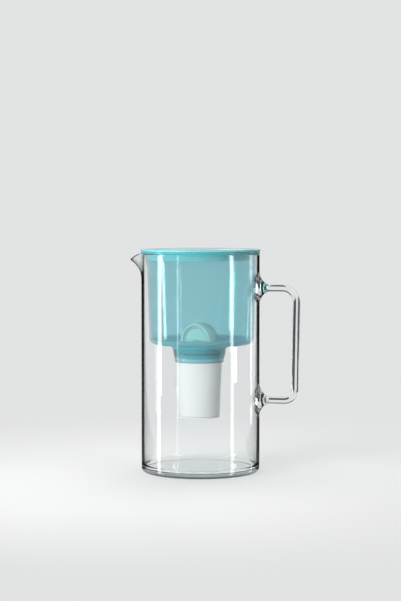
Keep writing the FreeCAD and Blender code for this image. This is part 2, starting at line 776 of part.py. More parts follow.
def build_cartridge_cap():
    body = new_body("cartridge_cap")
    axis = ("-socket_offset", "0")
    shell = [
        ("0", "spigot_end_z"),
        ("spigot_radius", "spigot_end_z"),
        ("spigot_radius", "seat_z"),
        ("plug_low_radius", "seat_z"),
        ("seal_low_radius", "seal_low_z"),
        ("seal_root", "seal_low_z"),
        ("seal_root", "seal_high_z"),
        ("seal_high_radius", "seal_high_z"),
        ("plug_top_radius", "plug_top_z"),
        ("dome_radius", "plug_top_z"),
        ("dome_radius", "dome_centre_z", "dome_radius", 1),
        ("0", "dome_top_z"),
    ]
    revolve(body, shell, "-socket_offset")
    side = box("-dome_radius - overrun", "dome_radius + overrun", "plug_top_z", "dome_top_z + overrun")
    cut_faces(body, side, "grip_half")
    cut_faces(body, arch("panel_radius", "plug_top_z", "dome_centre_z"), "panel_half")
    cut_faces(body, arch("inset_radius", "plug_top_z", "dome_centre_z"), "inset_half")
    hollow = [
        ("0", "spigot_end_z - overrun"),
        ("spigot_bore", "spigot_end_z - overrun"),
        ("spigot_bore", "plug_top_z - dome_wall"),
        ("0", "plug_top_z - dome_wall"),
    ]
    revolve(body, hollow, "-socket_offset", cut=True)
    core = arch("core_radius", "seat_z", "dome_centre_z")
    extrude(body, core, "0", "2 * core_half", "XZ_Plane", axis, "grip_angle", cut=True, way=0)
    half = "inlet_slot_width / 2"
    slot = box("core_half", "dome_radius + overrun", f"-{half}", half)
    inlet = extrude(body, slot, "plug_top_z", "inlet_slot_height", shift=axis, cut=True)
    repeat(body, inlet, "inlet_slot_count")
    return body


def build_cartridge_seal():
    body = new_body("cartridge_seal")
    ring = [
        ("seal_root", "seal_low_z"),
        ("seal_low_radius + seal_proud", "seal_low_z"),
        ("seal_high_radius + seal_proud", "seal_high_z"),
        ("seal_root", "seal_high_z"),
    ]
    revolve(body, ring, "-socket_offset")
    return body


def build_inlet_screen():
    return plain_disc("inlet_screen", "media_top_radius", "media_top_z", "screen_thickness", "-socket_offset")


def build_outlet_screen():
    radius = "cup_bore_low - media_gap"
    return plain_disc("outlet_screen", radius, "outlet_screen_z", "screen_thickness", "-socket_offset")


def build_filter_granules():
    body = new_body("filter_granules")
    bed = [
        ("0", "media_low_z"),
        ("media_low_radius", "media_low_z"),
        ("media_top_radius", "media_top_z"),
        ("0", "media_top_z"),
    ]
    revolve(body, bed, "-socket_offset")
    return body


# Lid: a flat plate with the refill opening and the indicator's hole, over a skirt in the hopper's mouth.
def build_lid_cover():
    body = new_body("lid_cover")
    plate = [
        ("0", "lid_under_z"),
        ("lid_step_radius", "lid_under_z"),
        ("lid_step_radius", "flange_top_z"),
        ("lid_radius", "flange_top_z"),
        ("lid_radius", "lid_top_z"),
        ("0", "lid_top_z"),
    ]
    revolve(body, plate)
    round_rings(body, [("lid_top_z", "lid_radius"), ("flange_top_z", "lid_radius")], "lid_round")
    lugs_low = "lid_under_z - lug_depth"
    for side in ("-slot_half - lug_thickness", "slot_half"):
        lug = box("hinge_x - lug_width / 2", "hinge_x + lug_width / 2", side, f"{side} + lug_thickness")
        extrude(body, lug, lugs_low, "lug_depth")
    rebate = rounded_box(
        "flap_left_x - flap_gap", "flap_right_x + hinge_gap", "flap_half + flap_gap", "flap_corner + flap_gap"
    )
    opening = rounded_box(
        "flap_left_x + ledge_width",
        "flap_right_x - ledge_width",
        "flap_half - ledge_width",
        "flap_corner - ledge_width",
    )
    through = "lid_plate + 2 * overrun"
    under = "lid_under_z - overrun"
    extrude(body, rebate, "flap_under_z", "flap_thickness + overrun", cut=True)
    extrude(body, opening, under, through, cut=True)
    notch = circle("notch_radius", "flap_left_x")
    extrude(body, notch, "lid_top_z - notch_depth", "notch_depth + overrun", cut=True)
    barrel_slot = box("flap_right_x - barrel_gap", "slot_right_x", "-slot_half", "slot_half")
    extrude(body, barrel_slot, under, through, cut=True)
    extrude(body, circle("pin_radius", "hinge_x", "hinge_z"), "0", "2 * pin_half", "XZ_Plane", cut=True, way=0)
    extrude(body, circle("case_radius + case_gap", "indicator_x"), under, through, cut=True)
    seat = circle("case_flange_radius + case_gap", "indicator_x")
    extrude(body, seat, "lid_top_z - case_flange", "case_flange + overrun", cut=True)
    return body


def build_lid_plug():
    body = new_body("lid_plug")
    skirt = [
        ("skirt_radius", "skirt_end_z"),
        ("skirt_radius", "lid_under_z"),
        ("skirt_bore", "lid_under_z"),
        ("skirt_bore", "lid_under_z - skirt_wall"),
        ("skirt_radius - skirt_wall", "lid_under_z - skirt_wall"),
        ("skirt_radius - skirt_wall", "skirt_end_z"),
    ]
    revolve(body, skirt)
    return body


# Refill flap: a plate in the lid's rebate with a hinge barrel on a steel pin.
def build_refill_flap():
    body = new_body("refill_flap")
    plate = rounded_box("flap_left_x", "flap_right_x", "flap_half", "flap_corner")
    extrude(body, plate, "flap_under_z", "flap_thickness")
    arm = box("flap_right_x - ledge_width", "hinge_x", "-barrel_half", "barrel_half")
    extrude(body, arm, "flap_under_z", "flap_thickness")
    barrel = circle("barrel_radius", "hinge_x", "hinge_z")
    extrude(body, barrel, "0", "barrel_length", "XZ_Plane", way=0)
    bore = circle("pin_radius + pin_running_gap", "hinge_x", "hinge_z")
    extrude(body, bore, "0", "barrel_length + overrun", "XZ_Plane", cut=True, way=0)
    return body


def build_flap_hinge_pin():
    body = new_body("flap_hinge_pin")
    extrude(body, circle("pin_radius", "hinge_x", "hinge_z"), "0", "2 * pin_half", "XZ_Plane", way=0)
    return body


# Change indicator: a round case in the lid with a button over a switch, a light, a board and a coin cell.
def build_indicator_case():
    body = new_body("indicator_case")
    shell = [
        ("button_radius + button_gap", "lid_top_z"),
        ("case_flange_radius", "lid_top_z"),
        ("case_flange_radius", "lid_top_z - case_flange"),
        ("case_radius", "lid_top_z - case_flange"),
        ("case_radius", "case_end_z"),
        ("case_bore", "case_end_z"),
        ("case_bore", "board_top_z"),
        ("ledge_bore", "board_top_z"),
        ("ledge_bore", "case_roof_z"),
        ("button_radius + button_gap", "case_roof_z"),
    ]
    revolve(body, shell, "indicator_x")
    return body


def build_indicator_base():
    body = new_body("indicator_base")
    cover = [
        ("0", "case_end_z"),
        ("bottom_radius", "case_end_z"),
        ("bottom_radius", "bottom_top_z"),
        ("bottom_radius - gasket_width", "bottom_top_z"),
        ("bottom_radius - gasket_width", "cell_low_z"),
        ("0", "cell_low_z"),
    ]
    revolve(body, cover, "indicator_x")
    return body


def build_indicator_gasket():
    body = new_body("indicator_gasket")
    ring = [
        ("bottom_radius - gasket_width", "bottom_top_z"),
        ("bottom_radius", "bottom_top_z"),
        ("bottom_radius", "bottom_top_z + gasket_width"),
        ("bottom_radius - gasket_width", "bottom_top_z + gasket_width"),
    ]
    revolve(body, ring, "indicator_x")
    return body


def build_indicator_button():
    body = new_body("indicator_button")
    cap = [
        ("0", "button_low_z"),
        ("button_flange_radius", "button_low_z"),
        ("button_flange_radius", "button_flange_top_z"),
        ("button_radius", "button_flange_top_z"),
        ("button_radius", "button_top_z"),
        ("0", "button_top_z"),
    ]
    revolve(body, cap, "indicator_x")
    return body


def build_indicator_board():
    return plain_disc("indicator_board", "bottom_radius", "board_low_z", "board_thickness", "indicator_x")


def build_indicator_switch():
    body = new_body("indicator_switch")
    half = "switch_side / 2"
    outer = box(f"-{half}", half, f"-{half}", half)
    extrude(body, outer, "board_top_z", "switch_height", shift=("indicator_x", "0"))
    return body


def build_indicator_led():
    body = new_body("indicator_led")
    half = "led_width / 2"
    outer = box("led_offset - led_length / 2", "led_offset + led_length / 2", f"-{half}", half)
    extrude(body, outer, "board_top_z", "led_height", shift=("indicator_x", "0"))
    return body


def build_coin_cell():
    body = new_body("coin_cell")
    can = [
        ("0", "cell_low_z"),
        ("cell_radius", "cell_low_z"),
        ("cell_radius", "cell_top_z - cell_step"),
        ("cell_radius - cell_step", "cell_top_z - cell_step"),
        ("cell_radius - cell_step", "cell_top_z"),
        ("0", "cell_top_z"),
    ]
    revolve(body, can, "indicator_x")
    return body


def build_battery_contact():
    body = new_body("battery_contact")
    half = "contact_width / 2"
    strip = rounded_box("-contact_length / 2", "contact_length / 2", half, "contact_width / 3")
    extrude(body, strip, "cell_top_z", "contact_thickness", shift=("indicator_x", "0"))
    return body


# Building, testing and writing every piece.
BUILDERS = (
    build_glass_jug,
    build_glass_handle,
    build_funnel,
    build_cartridge_cup,
    build_cartridge_cap,
    build_cartridge_seal,
    build_inlet_screen,
    build_outlet_screen,
    build_filter_granules,
    build_lid_cover,
    build_lid_plug,
    build_refill_flap,
    build_flap_hinge_pin,
    build_indicator_case,
    build_indicator_base,
    build_indicator_gasket,
    build_indicator_button,
    build_indicator_board,
    build_indicator_switch,
    build_indicator_led,
    build_coin_cell,
    build_battery_contact,
)


def check_document(pieces):
    for made in doc.Objects:
        if "Invalid" in made.State or "Error" in made.State:
            raise RuntimeError(f"{made.Label} failed")
    for piece in pieces:
        if piece.Shape.isNull() or not piece.Shape.isValid():
            raise RuntimeError(f"{piece.Label} has no sound shape")
        if len(piece.Shape.Solids) != 1:
            raise RuntimeError(f"{piece.Label} is in {len(piece.Shape.Solids)} solids")


def write_pieces(pieces):
    os.makedirs("parts", exist_ok=True)
    for piece in pieces:
        piece.Shape.exportStep(os.path.join("parts", piece.Label + ".step"))
        bounds = piece.Shape.BoundBox
        print(f"{piece.Label}: {piece.Shape.Volume:.1f} mm3, z {bounds.ZMin:.2f} to {bounds.ZMax:.2f}")


fill_sheet()
built = [build() for build in BUILDERS]
doc.recompute()
check_document(built)
write_pieces(built)
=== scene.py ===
import json
import math
import bmesh
import bpy
from mathutils import Matrix, Vector

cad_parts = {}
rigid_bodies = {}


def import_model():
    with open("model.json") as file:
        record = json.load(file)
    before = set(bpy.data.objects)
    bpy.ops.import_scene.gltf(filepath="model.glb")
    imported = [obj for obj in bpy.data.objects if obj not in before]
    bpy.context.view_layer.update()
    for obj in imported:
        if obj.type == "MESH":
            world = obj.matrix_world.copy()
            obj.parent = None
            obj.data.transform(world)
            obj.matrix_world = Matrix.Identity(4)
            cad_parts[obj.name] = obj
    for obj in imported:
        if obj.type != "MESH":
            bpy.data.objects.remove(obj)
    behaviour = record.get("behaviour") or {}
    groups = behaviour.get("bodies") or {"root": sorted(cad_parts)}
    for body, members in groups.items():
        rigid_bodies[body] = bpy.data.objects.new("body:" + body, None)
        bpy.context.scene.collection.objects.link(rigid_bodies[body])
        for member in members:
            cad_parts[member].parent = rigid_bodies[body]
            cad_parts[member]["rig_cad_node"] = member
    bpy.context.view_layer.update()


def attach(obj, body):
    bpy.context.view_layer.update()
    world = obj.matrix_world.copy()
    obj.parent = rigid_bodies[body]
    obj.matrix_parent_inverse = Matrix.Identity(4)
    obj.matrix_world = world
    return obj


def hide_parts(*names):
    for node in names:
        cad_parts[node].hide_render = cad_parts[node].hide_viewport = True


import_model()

scene = bpy.context.scene
mm = 0.001
nodeObjects = {ob["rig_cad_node"]: ob for ob in scene.objects if "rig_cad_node" in ob}


# helpers for node trees
def newTree(name):
    mat = bpy.data.materials.new(name)
    mat.use_nodes = True
    tree = mat.node_tree
    return mat, tree, tree.nodes["Principled BSDF"]


def feed(tree, socket, value):
    # links another node's output, or sets a fixed number or colour
    if isinstance(value, bpy.types.NodeSocket):
        tree.links.new(value, socket)
    else:
        socket.default_value = (*value, 1) if socket.type == "RGBA" else value


def setInputs(tree, node, **values):
    for key, value in values.items():
        feed(tree, node.inputs[key.replace("_", " ")], value)


def addNode(tree, kind, **values):
    # a value is a setting of the node, or goes to its input of that name
    node = tree.nodes.new(kind)
    for key, value in values.items():
        if hasattr(node, key):
            setattr(node, key, value)
        else:
            setInputs(tree, node, **{key: value})
    return node


def calc(tree, operation, first, second=0.0, clamp=False):
    node = addNode(tree, "ShaderNodeMath", operation=operation, use_clamp=clamp)
    feed(tree, node.inputs[0], first)
    feed(tree, node.inputs[1], second)
    return node.outputs[0]


def most(tree, shares):
    total = shares[0]
    for share in shares[1:]:
        total = calc(tree, "MAXIMUM", total, share)
    return total


def objectCoords(tree, scale=(1, 1, 1)):
    coords = addNode(tree, "ShaderNodeTexCoord")
    mapping = addNode(tree, "ShaderNodeMapping", Vector=coords.outputs["Object"], Scale=scale)
    return mapping.outputs["Vector"]


def noise(tree, vector, scale, detail=3.0, rough=0.55):
    node = addNode(tree, "ShaderNodeTexNoise", Vector=vector, Scale=scale, Detail=detail, Roughness=rough)
    return node.outputs["Fac"]


def spread(tree, fac, low, high, fromLow=0.3, fromHigh=0.7):
    node = addNode(tree, "ShaderNodeMapRange", Value=fac, From_Min=fromLow, From_Max=fromHigh,
                   To_Min=low, To_Max=high)
    return node.outputs["Result"]


def blendColours(tree, fac, first, second):
    # each end is a fixed colour or another node's output
    node = addNode(tree, "ShaderNodeMix", data_type="RGBA")
    ends = [socket for socket in node.inputs if socket.type == "RGBA"]
    feed(tree, ends[0], first)
    feed(tree, ends[1], second)
    feed(tree, node.inputs[0], fac)
    return [socket for socket in node.outputs if socket.type == "RGBA"][0]


def addBump(tree, shader, height, strength, distance):
    bump = addNode(tree, "ShaderNodeBump", Height=height, Strength=strength, Distance=distance)
    setInputs(tree, shader, Normal=bump.outputs["Normal"])


def mixShaders(tree, output, share, first, second):
    # a share of 0 shows the first, 1 the second
    mix = addNode(tree, "ShaderNodeMixShader")
    feed(tree, mix.inputs[0], share)
    feed(tree, mix.inputs[1], first.outputs[0])
    feed(tree, mix.inputs[2], second.outputs[0])
    feed(tree, output.inputs["Surface"], mix.outputs[0])


def seenRays(tree):
    # 1 for camera, mirror and glass rays, 0 for the rays that light the object, also through glass
    path = addNode(tree, "ShaderNodeLightPath").outputs
    total = path["Is Camera Ray"]
    for kind in ("Is Glossy Ray", "Is Transmission Ray"):
        total = calc(tree, "ADD", total, path[kind], clamp=True)
    return calc(tree, "SUBTRACT", total, path["Diffuse Depth"], clamp=True)


# painted shade: inner corners and grooves of a piece are darkened towards a shade colour by ambient
# occlusion
paintedCreaseShade = {"samples": 8, "closed": 0.58, "open": 0.97}


# paints shade into the colour where the piece's own corners and grooves close in
def paintCreaseShade(tree, colour, dark, reach):
    corner = addNode(tree, "ShaderNodeAmbientOcclusion", samples=paintedCreaseShade["samples"], only_local=True,
                     Distance=reach)
    share = spread(tree, corner.outputs["AO"], 1, 0, paintedCreaseShade["closed"], paintedCreaseShade["open"])
    return blendColours(tree, share, colour, dark)


# see-through walls: slow waves, a faint film of dust in the roughness, deeper where light runs far inside
glassLook = {"tint": (0.98, 0.99, 0.988), "ior": 1.47, "inside": (0.45, 0.56, 0.54), "density": 9.0,
             "shadow": (0.97, 0.98, 0.98), "waveScale": 22.0, "waveStretch": (1, 1, 0.35),
             "wave": 0.12, "waveDepth": 0.00035, "filmScale": 60.0, "film": (0.0, 0.025, 0.45, 0.8)}
# the hopper's collar and floor are thicker, so deeper, and its corners and flange are cloudy
hopperLook = {"pale": (0.68, 0.89, 0.912), "deep": (0.64, 0.87, 0.897), "cloudScale": 14.0,
              "cloudStretch": (1, 1, 0.5), "cloudDetail": 2.0, "clear": 0.95, "ior": 1.43,
              "inside": (0.05, 0.7, 0.78), "density": 170.0, "shadow": (0.95, 0.98, 0.985),
              "waveScale": 26.0, "waveStretch": (1, 1, 0.3), "wave": 0.08, "waveDepth": 0.0004,
              "filmScale": 90.0, "film": (0.01, 0.06, 0.3, 0.7),
              # crease and creaseReach: painted shade in the hopper's inner corners and grooves, its colour
              # and reach
              "crease": (0.03, 0.25, 0.3), "creaseReach": 0.0016,
              "thick": (0.30, 0.70, 0.75), "thickBands": ((0.1262, 0.1264, 0.1425, 0.1485),),
              "cloudy": (0.08, 0.52, 0.58), "cloudyClear": 0.3,
              "cloudyBands": ((0.1359, 0.1362, 0.1435, 0.1470), (0.2402, 0.2405, 0.25, 0.26))}
clearWall = {"filmDetail": 4.0, "waveDetail": 1.5}


def finishClear(tree, shader, look):
    film = noise(tree, objectCoords(tree), look["filmScale"], clearWall["filmDetail"])
    setInputs(tree, shader, IOR=look["ior"], Roughness=spread(tree, film, *look["film"]))
    waves = noise(tree, objectCoords(tree, look["waveStretch"]), look["waveScale"], clearWall["waveDetail"])
    addBump(tree, shader, waves, look["wave"], look["waveDepth"])
    output = tree.nodes["Material Output"]
    shadowRay = addNode(tree, "ShaderNodeLightPath").outputs["Is Shadow Ray"]
    tint = addNode(tree, "ShaderNodeBsdfTransparent", Color=look["shadow"])
    mixShaders(tree, output, shadowRay, shader, tint)  # lamps shine through as a light tint
    depth = addNode(tree, "ShaderNodeVolumeAbsorption", Color=look["inside"], Density=look["density"])
    feed(tree, output.inputs["Volume"], depth.outputs[0])


def makeGlass():
    mat, tree, shader = newTree("clearGlass")
    setInputs(tree, shader, Base_Color=glassLook["tint"], Transmission_Weight=1.0)
    finishClear(tree, shader, glassLook)
    return mat


def bandShare(tree, bands):
    # 1 inside the bands of height, 0 outside; each band is four heights, with soft ends
    height = addNode(tree, "ShaderNodeSeparateXYZ", Vector=objectCoords(tree)).outputs["Z"]
    shares = []
    for start, full, ending, end in bands:
        rising = spread(tree, height, 0, 1, start, full)
        falling = spread(tree, height, 1, 0, ending, end)
        shares.append(calc(tree, "MULTIPLY", rising, falling))
    return most(tree, shares)


def makeTint():
    look = hopperLook
    mat, tree, shader = newTree("tealClear")
    cloud = noise(tree, objectCoords(tree, look["cloudStretch"]), look["cloudScale"], look["cloudDetail"])
    colour = blendColours(tree, spread(tree, cloud, 0, 1), look["pale"], look["deep"])
    colour = blendColours(tree, bandShare(tree, look["thickBands"]), colour, look["thick"])
    cloudy = bandShare(tree, look["cloudyBands"])
    colour = blendColours(tree, cloudy, colour, look["cloudy"])
    # painted shade in the hopper's inner corners and grooves
    colour = paintCreaseShade(tree, colour, look["crease"], look["creaseReach"])
    clear = spread(tree, cloudy, look["clear"], look["cloudyClear"], 0, 1)
    setInputs(tree, shader, Base_Color=colour, Transmission_Weight=clear)
    finishClear(tree, shader, look)
    return mat


# moulded plastics: a colour that clouds a little, painted shade in inner corners and grooves, fine grain in
# the bump, polish that varies
moulded = {"ior": 1.5, "crease": 0.3, "creaseReach": 0.0012,
           "grainDetail": 4.0, "grainRough": 0.6, "grainDepth": 0.00012}
plastics = {
    "aquaSatin": {"pale": (0.21, 0.62, 0.635), "deep": (0.18, 0.57, 0.59), "cloudScale": 18.0,
                  "grainScale": 900.0, "smooth": 0.19, "rough": 0.3, "grain": 0.1},
    "whiteMatt": {"pale": (0.83, 0.845, 0.85), "deep": (0.79, 0.81, 0.82), "cloudScale": 30.0,
                  "grainScale": 1400.0, "smooth": 0.40, "rough": 0.56, "grain": 0.16},
    "paleMintMatt": {"pale": (0.90, 0.93, 0.85), "deep": (0.86, 0.895, 0.815), "cloudScale": 26.0,
                     "grainScale": 1400.0, "smooth": 0.42, "rough": 0.58, "grain": 0.16, "crease": 0.1,
                     "arches": (0.01631, 0.01831), "archCore": 0.000126, "archHalf": 0.00042,
                     "archShade": 0.55, "gripHalf": 0.0073, "gripCentre": (-0.0012, 0, 0.1424),
                     "gripAngle": 152.6},
    "mintMatt": {"pale": (0.56, 0.82, 0.80), "deep": (0.50, 0.78, 0.76), "cloudScale": 60.0,
                 "grainScale": 1400.0, "smooth": 0.42, "rough": 0.58, "grain": 0.16},
    # the lid's plug band: lighter than the lid's aqua, partly its own paler tone and partly painted light
    # for the lamp light it lacks under the lid
    "aquaBand": {"pale": (0.30, 0.86, 0.86), "deep": (0.27, 0.82, 0.83), "cloudScale": 18.0,
                 "grainScale": 900.0, "smooth": 0.30, "rough": 0.42, "grain": 0.12},
    "softSeal": {"pale": (0.66, 0.71, 0.71), "deep": (0.58, 0.64, 0.65), "cloudScale": 80.0,
                 "grainScale": 1100.0, "smooth": 0.55, "rough": 0.75, "grain": 0.2},
    "switchBlack": {"pale": (0.05, 0.05, 0.055), "deep": (0.03, 0.03, 0.034), "cloudScale": 300.0,
                    "grainScale": 3000.0, "smooth": 0.4, "rough": 0.6, "grain": 0.2},
    "lampLens": {"pale": (0.90, 0.92, 0.85), "deep": (0.82, 0.86, 0.76), "cloudScale": 500.0,
                 "grainScale": 3000.0, "smooth": 0.08, "rough": 0.2, "grain": 0.05},
}


def paintedArchShade(tree, look):
    # painted shade lines along the steps of the cap's two-sided grip
    centred = addNode(tree, "ShaderNodeVectorMath", operation="SUBTRACT")
    feed(tree, centred.inputs[0], objectCoords(tree))
    feed(tree, centred.inputs[1], look["gripCentre"])
    turned = addNode(tree, "ShaderNodeVectorRotate", rotation_type="Z_AXIS", Vector=centred.outputs[0],
                     Angle=-math.radians(look["gripAngle"]))
    x, y, z = addNode(tree, "ShaderNodeSeparateXYZ", Vector=turned.outputs[0]).outputs
    squares = [calc(tree, "MULTIPLY", side, side) for side in (x, z)]
    around = calc(tree, "SQRT", calc(tree, "ADD", *squares))
    lines = []
    for radius in look["arches"]:
        off = calc(tree, "ABSOLUTE", calc(tree, "SUBTRACT", around, radius))
        lines.append(spread(tree, off, look["archShade"], 0, look["archCore"], look["archHalf"]))
    onGrip = calc(tree, "LESS_THAN", calc(tree, "ABSOLUTE", y), look["gripHalf"])
    return calc(tree, "MULTIPLY", most(tree, lines), onGrip)


def makePlastic(name):
    look = {**moulded, **plastics[name]}
    mat, tree, shader = newTree(name)
    place = objectCoords(tree)
    cloud = spread(tree, noise(tree, place, look["cloudScale"]), 0, 1)
    colour = blendColours(tree, cloud, look["pale"], look["deep"])
    # painted shade colour, which inner corners, grooves and the grip's arch lines darken towards
    dark = [part * look["crease"] for part in look["deep"]]
    colour = paintCreaseShade(tree, colour, dark, look["creaseReach"])
    if "arches" in look:
        # painted shade lines on the cap's grip steps
        colour = blendColours(tree, paintedArchShade(tree, look), colour, dark)
    grain = noise(tree, place, look["grainScale"], look["grainDetail"], look["grainRough"])
    polish = spread(tree, grain, look["smooth"], look["rough"])
    setInputs(tree, shader, Base_Color=colour, Roughness=polish, IOR=look["ior"])
    addBump(tree, shader, grain, look["grain"], look["grainDepth"])
    return mat


# woven screens: two crossed waves raise the threads
screenLook = {"gap": (0.35, 0.35, 0.33), "thread": (0.86, 0.86, 0.83), "scale": 420.0, "wander": 0.3,
              "rough": 0.7, "bump": 0.5, "depth": 0.0002}


def makeWeave():
    look = screenLook
    mat, tree, shader = newTree("wovenScreen")
    place = objectCoords(tree)
    waves = []
    for axis in ("X", "Y"):
        wave = addNode(tree, "ShaderNodeTexWave", bands_direction=axis, Vector=place, Scale=look["scale"],
                       Distortion=look["wander"])
        waves.append(wave.outputs["Fac"])
    threads = most(tree, waves)
    colour = blendColours(tree, threads, look["gap"], look["thread"])
    setInputs(tree, shader, Base_Color=colour, Roughness=look["rough"])
    addBump(tree, shader, threads, look["bump"], look["depth"])
    return mat


# carbon and resin grains
granuleLook = {"carbon": (0.02, 0.02, 0.022), "resin": (0.42, 0.36, 0.26), "scale": 900.0,
               "rough": 0.8, "bump": 0.8, "depth": 0.0006}


def makeGranules():
    look = granuleLook
    mat, tree, shader = newTree("carbonGrains")
    cells = addNode(tree, "ShaderNodeTexVoronoi", Vector=objectCoords(tree), Scale=look["scale"])
    kind = addNode(tree, "ShaderNodeSeparateColor", Color=cells.outputs["Color"]).outputs[0]
    colour = blendColours(tree, kind, look["carbon"], look["resin"])
    setInputs(tree, shader, Base_Color=colour, Roughness=look["rough"])
    addBump(tree, shader, cells.outputs["Distance"], look["bump"], look["depth"])
    return mat


# drawn and stamped metal, with its marks along one way
worked = {"scale": 300.0, "detail": 4.0, "smooth": 0.2, "rough": 0.42, "bump": 0.15, "depth": 0.0001}
metals = {
    "drawnSteel": {"pale": (0.62, 0.63, 0.64), "deep": (0.5, 0.51, 0.52), "stretch": (4, 0.3, 4)},
    "stampedBrass": {"pale": (0.72, 0.56, 0.26), "deep": (0.6, 0.46, 0.2), "stretch": (0.4, 3, 3)},
}


def makeMetal(name):
    look = {**worked, **metals[name]}
    mat, tree, shader = newTree(name)
    marks = noise(tree, objectCoords(tree, look["stretch"]), look["scale"], look["detail"])
    colour = blendColours(tree, spread(tree, marks, 0, 1), look["pale"], look["deep"])
    polish = spread(tree, marks, look["smooth"], look["rough"])
    setInputs(tree, shader, Base_Color=colour, Roughness=polish, Metallic=1.0)
    addBump(tree, shader, marks, look["bump"], look["depth"])
    return mat


# the reminder's board: green lacquer over paler tracks
boardLook = {"lacquer": (0.04, 0.2, 0.09), "second": (0.05, 0.24, 0.11), "track": (0.09, 0.34, 0.17),
             "scale": 260.0, "rough": 0.35, "bump": 0.3, "depth": 0.00005}


def makeBoard():
    look = boardLook
    mat, tree, shader = newTree("boardLacquer")
    tracks = addNode(tree, "ShaderNodeTexBrick", Vector=objectCoords(tree), Scale=look["scale"],
                     Color1=look["lacquer"], Color2=look["second"], Mortar=look["track"])
    setInputs(tree, shader, Base_Color=tracks.outputs["Color"], Roughness=look["rough"])
    addBump(tree, shader, tracks.outputs["Fac"], look["bump"], look["depth"])
    return mat


finishes = {"clearGlass": makeGlass(), "tealClear": makeTint(), "wovenScreen": makeWeave(),
            "carbonGrains": makeGranules(), "boardLacquer": makeBoard()}
for name in plastics:
    finishes[name] = makePlastic(name)
for name in metals:
    finishes[name] = makeMetal(name)
print("materials made:", len(finishes))

nodeFinish = {
    "glass_jug": "clearGlass", "glass_handle": "clearGlass", "funnel": "tealClear",
    "cartridge_cup": "whiteMatt", "cartridge_cap": "paleMintMatt", "cartridge_seal": "softSeal",
    "inlet_screen": "wovenScreen", "outlet_screen": "wovenScreen", "filter_granules": "carbonGrains",
    "lid_cover": "aquaSatin", "lid_plug": "aquaBand", "refill_flap": "aquaSatin",
    "flap_hinge_pin": "drawnSteel", "indicator_case": "whiteMatt", "indicator_base": "whiteMatt",
    "indicator_gasket": "softSeal", "indicator_button": "mintMatt", "indicator_board": "boardLacquer",
    "indicator_switch": "switchBlack", "indicator_led": "lampLens", "coin_cell": "drawnSteel",
    "battery_contact": "stampedBrass",
}
for node, finish in nodeFinish.items():
    for slot in nodeObjects[node].material_slots:
        slot.material = finishes[finish]
print("solids dressed:", len(nodeFinish))

# helpers for meshes; lengths of the pieces are in millimetres
sameSpot = 1e-6
onEdge = 1e-5


def finishPiece(mesh, name, body, mat, crease):
    mesh.materials.append(mat)
    mesh.shade_smooth()
    mesh.set_sharp_from_angle(angle=math.radians(crease))
    piece = bpy.data.objects.new(name, mesh)
    scene.collection.objects.link(piece)
    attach(piece, body)
    return piece


def meshFrom(bm, name):
    mesh = bpy.data.meshes.new(name)
    bm.to_mesh(mesh)
    bm.free()
    return mesh


def profileWire(bm, points, closed=False):
    # half section in the XZ plane, as a chain of edges
    verts = [bm.verts.new((x * mm, 0, z * mm)) for x, z in points]
    pairs = list(zip(verts, verts[1:]))
    if closed:
        pairs.append((verts[-1], verts[0]))
    return [bm.edges.new(pair) for pair in pairs]


def turn(bm, steps):
    bmesh.ops.spin(bm, geom=bm.verts[:] + bm.edges[:], cent=(0, 0, 0), axis=(0, 0, 1), angle=math.tau,
                   steps=steps, use_merge=True)
    bmesh.ops.remove_doubles(bm, verts=bm.verts, dist=sameSpot)
    bmesh.ops.recalc_face_normals(bm, faces=bm.faces)


def roundRing(bm, radius, z, size, segments):
    # rounds the level ring of edges at this radius and height
    def onRing(v):
        return abs(v.co.z - z * mm) < onEdge and abs(v.co.xy.length - radius * mm) < onEdge

    ring = [e for e in bm.edges if onRing(e.verts[0]) and onRing(e.verts[1])]
    bmesh.ops.bevel(bm, geom=ring, offset=size * mm, offset_type="OFFSET", affect="EDGES",
                    segments=segments, profile=0.5, material=-1)


# glass jug and handle, one piece of glass
jug = {"radius": 65.0, "height": 240.5, "wall": 2.8, "floor": 5.0, "steps": 192, "wallRows": 6,
       "foot": 5.0, "hollow": 7.0, "footSteps": 8, "rim": 1.1, "rimSteps": 4, "crease": 40,
       "spoutRise": 34.0, "spoutRows": 16, "spoutAngle": 24.5, "spoutWidthPower": 1.1,
       "spoutReach": 15.0, "spoutPower": 2.2, "spoutDrop": 7.7, "dropWidthPower": 1.6, "dropPower": 1.5}
handle = {"reach": 42.3, "top": 203.0, "bottom": 80.8, "topBend": 15.0, "lowBend": 12.0, "lean": 1.0,
          "armRadius": 3.8, "barRadius": 4.18, "sides": 48, "bendSteps": 12, "barSteps": 5,
          "weldRadius": 16.4, "weldLength": 11.4, "weldPower": 1.9, "weldSteps": 14, "weldSunk": 2.3,
          "armStart": 3.0, "bead": 0.5, "beadAt": 8.4, "beadWidth": 1.0}


def spoutShare(x, y):
    # how much of the pull a point has, by its angle from the spout
    angle = abs(math.degrees(math.atan2(y, -x)))
    if angle >= jug["spoutAngle"]:
        return 0.0
    return (0.5 + 0.5 * math.cos(math.pi * angle / jug["spoutAngle"])) ** jug["spoutWidthPower"]


def pullSpout(bm):
    low = (jug["height"] - jug["spoutRise"]) * mm
    for v in bm.verts:
        share = spoutShare(v.co.x, v.co.y)
        if v.co.z <= low or share == 0:
            continue
        rise = (v.co.z - low) / (jug["spoutRise"] * mm)
        out = v.co.xy.normalized() * (jug["spoutReach"] * mm * share * rise ** jug["spoutPower"])
        drop = jug["spoutDrop"] * mm * share ** jug["dropWidthPower"] * rise ** jug["dropPower"]
        v.co += Vector((out.x, out.y, -drop))


